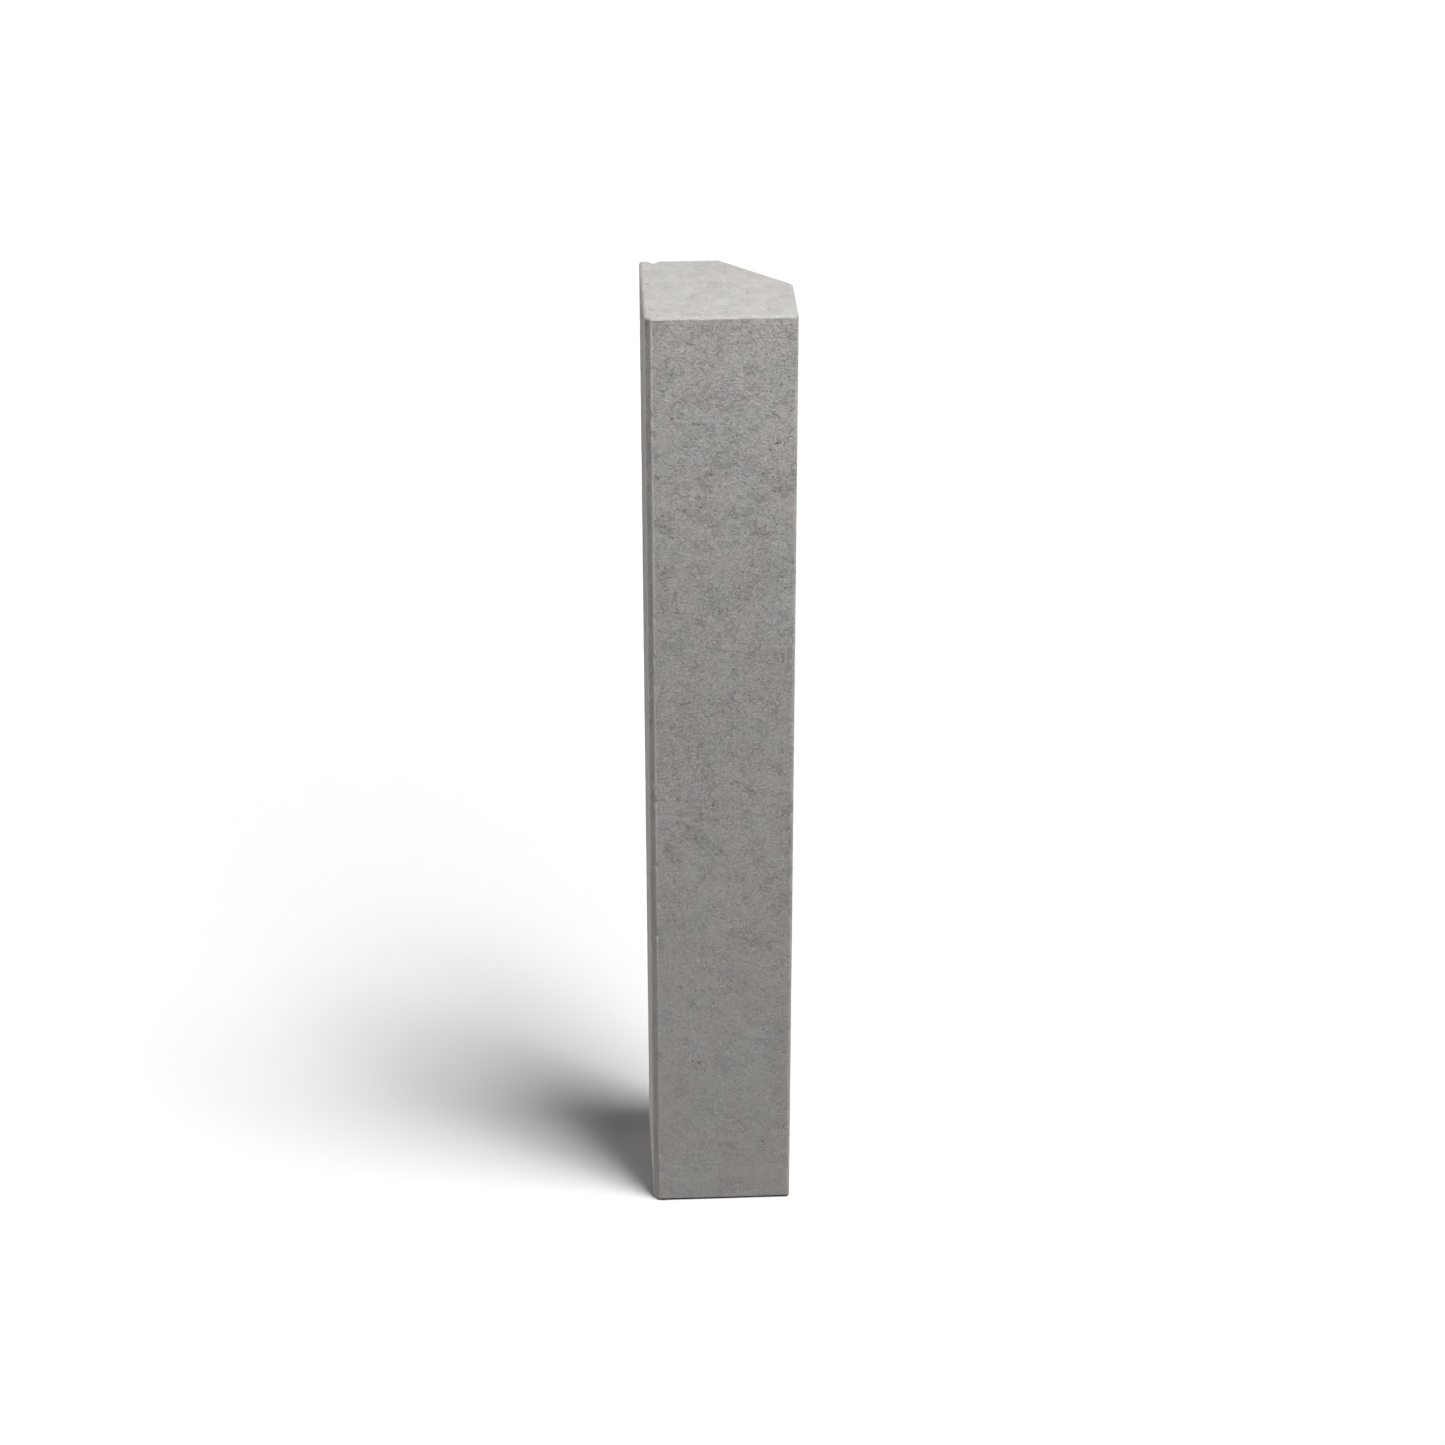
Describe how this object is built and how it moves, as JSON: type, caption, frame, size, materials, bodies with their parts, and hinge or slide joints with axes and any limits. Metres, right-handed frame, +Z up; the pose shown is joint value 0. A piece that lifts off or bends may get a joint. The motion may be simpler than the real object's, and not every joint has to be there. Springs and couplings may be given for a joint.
{
  "type": "precast concrete barrier unit",
  "caption": "Precast concrete traffic barrier unit standing on one end, with a 45 degree splay, a V groove in its narrow top face, a steel cage and cast-in lifting sockets.",
  "frame": {"origin": "centre of the bounding rectangle of the lower end face, which the unit stands on", "axes": "+Z up along the unit's length; -Y is the outward normal of the bed face, which lies on the ground in service; +Y is the outward normal of the grooved top face; +X is the outward normal of the traffic face, on the splay's side"},
  "size_m": [0.432, 0.447, 3],
  "materials": {
    "concrete": "cast concrete, matt, mottled grey with fine hairline cracks, scratches and small bug holes",
    "rebar_steel": "ribbed reinforcing steel with a thin brown rust film",
    "tie_wire": "black annealed wire with faint rust",
    "zinc_steel": "zinc-plated turned steel, dull",
    "spacer_plastic": "moulded recycled plastic, matt dark grey"
  },
  "bodies": {
    "root": {"concrete_body": "concrete", "main_bar_rear_bed": "rebar_steel", "main_bar_traffic_bed": "rebar_steel", "main_bar_traffic_shoulder": "rebar_steel", "main_bar_splay_top": "rebar_steel", "main_bar_rear_top": "rebar_steel", "main_bar_mid_bed": "rebar_steel", "main_bar_mid_rear": "rebar_steel", "link_01": "rebar_steel", "link_02": "rebar_steel", "link_03": "rebar_steel", "link_04": "rebar_steel", "link_05": "rebar_steel", "link_06": "rebar_steel", "link_07": "rebar_steel", "link_08": "rebar_steel", "link_09": "rebar_steel", "link_10": "rebar_steel", "link_11": "rebar_steel", "link_12": "rebar_steel", "link_13": "rebar_steel", "ubar_lower_wide": "rebar_steel", "ubar_lower_deep": "rebar_steel", "ubar_upper_wide": "rebar_steel", "ubar_upper_deep": "rebar_steel", "lifting_socket_lower": "zinc_steel", "lifting_socket_upper": "zinc_steel", "anchor_tail_lower": "rebar_steel", "anchor_tail_upper": "rebar_steel", "tie_wires": "tie_wire", "spacer_wheels_bed": "spacer_plastic", "spacer_wheels_traffic": "spacer_plastic", "spacer_wheels_top": "spacer_plastic", "spacer_wheels_rear": "spacer_plastic"}
  },
  "joints": []
}
